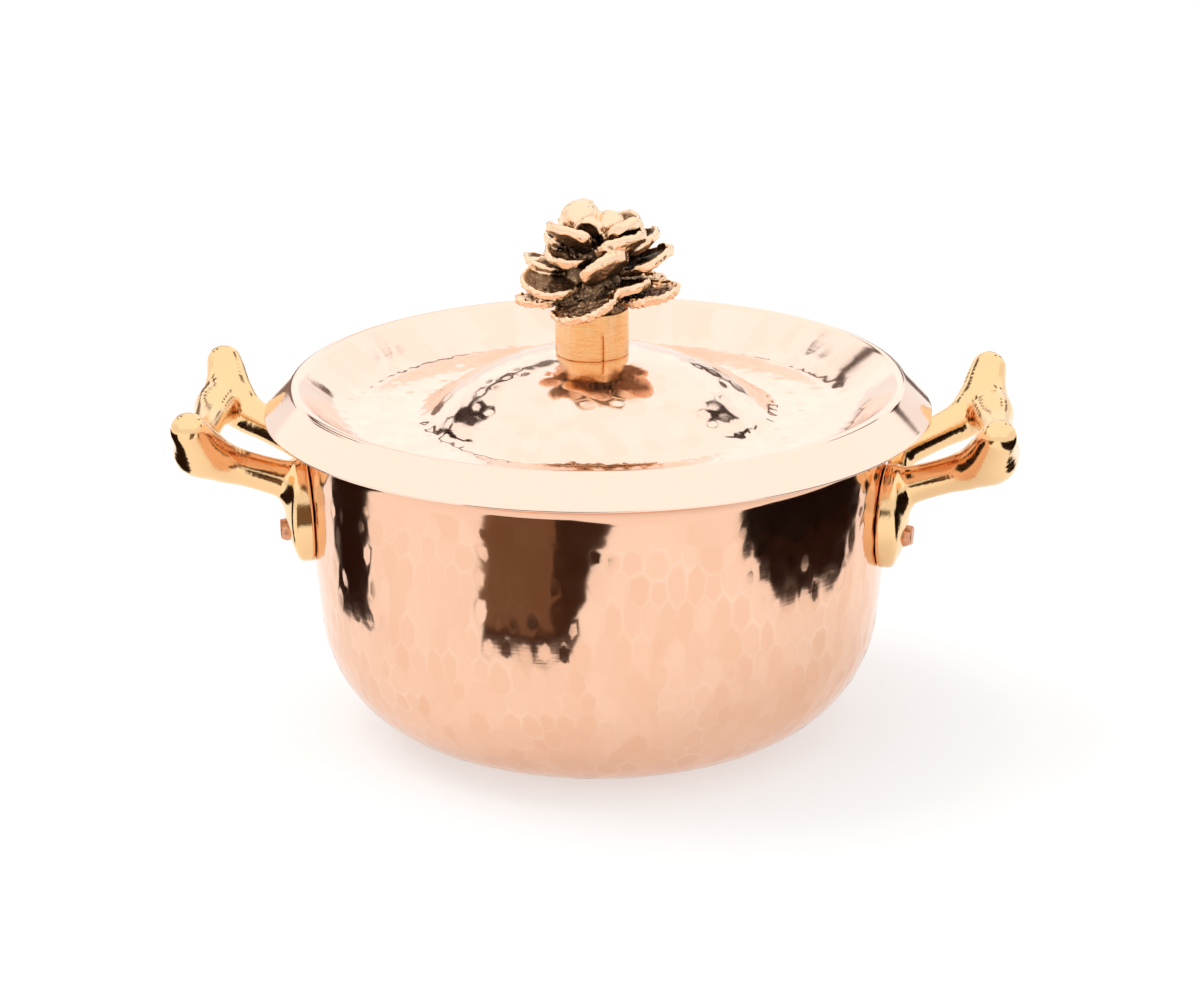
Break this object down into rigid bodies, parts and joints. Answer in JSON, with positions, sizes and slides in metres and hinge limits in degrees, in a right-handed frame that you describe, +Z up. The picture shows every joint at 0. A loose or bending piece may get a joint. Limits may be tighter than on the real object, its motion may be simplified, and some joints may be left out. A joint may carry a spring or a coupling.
{
  "type": "cocotte",
  "caption": "Round hammered copper cooking pot with a lift-off domed lid, a bronze flower knob and riveted bronze loop handles.",
  "frame": {"origin": "centre of the flat base, on the surface that the pot stands on", "axes": "+Z up, +X out through the right handle, the front faces -Y"},
  "size_m": [0.35, 0.2792, 0.226],
  "materials": {
    "hammered_copper": "polished, planished all over with a hammer",
    "tin_lining": "wiped tin",
    "cast_bronze": "polished casting",
    "copper_rivet": "peened by hand",
    "brushed_bronze": "brushed round",
    "patinated_bronze": "cast, dark patina in the hollows, polished rims"
  },
  "bodies": {
    "pot": {"pot_body": "hammered_copper", "pot_tin_lining": "tin_lining", "right_handle": "cast_bronze", "left_handle": "cast_bronze", "right_handle_rivets": "copper_rivet", "left_handle_rivets": "copper_rivet"},
    "lid": {"lid_shell": "hammered_copper", "lid_tin_lining": "tin_lining", "knob_ferrule": "brushed_bronze", "knob_flower": "patinated_bronze", "knob_stud": "copper_rivet", "knob_washer": "copper_rivet"}
  },
  "joints": [
    {"name": "lid_lift", "type": "slide", "parent": "pot", "child": "lid", "axis": [0, 0, 1], "range_m": [0, 0.2]}
  ]
}
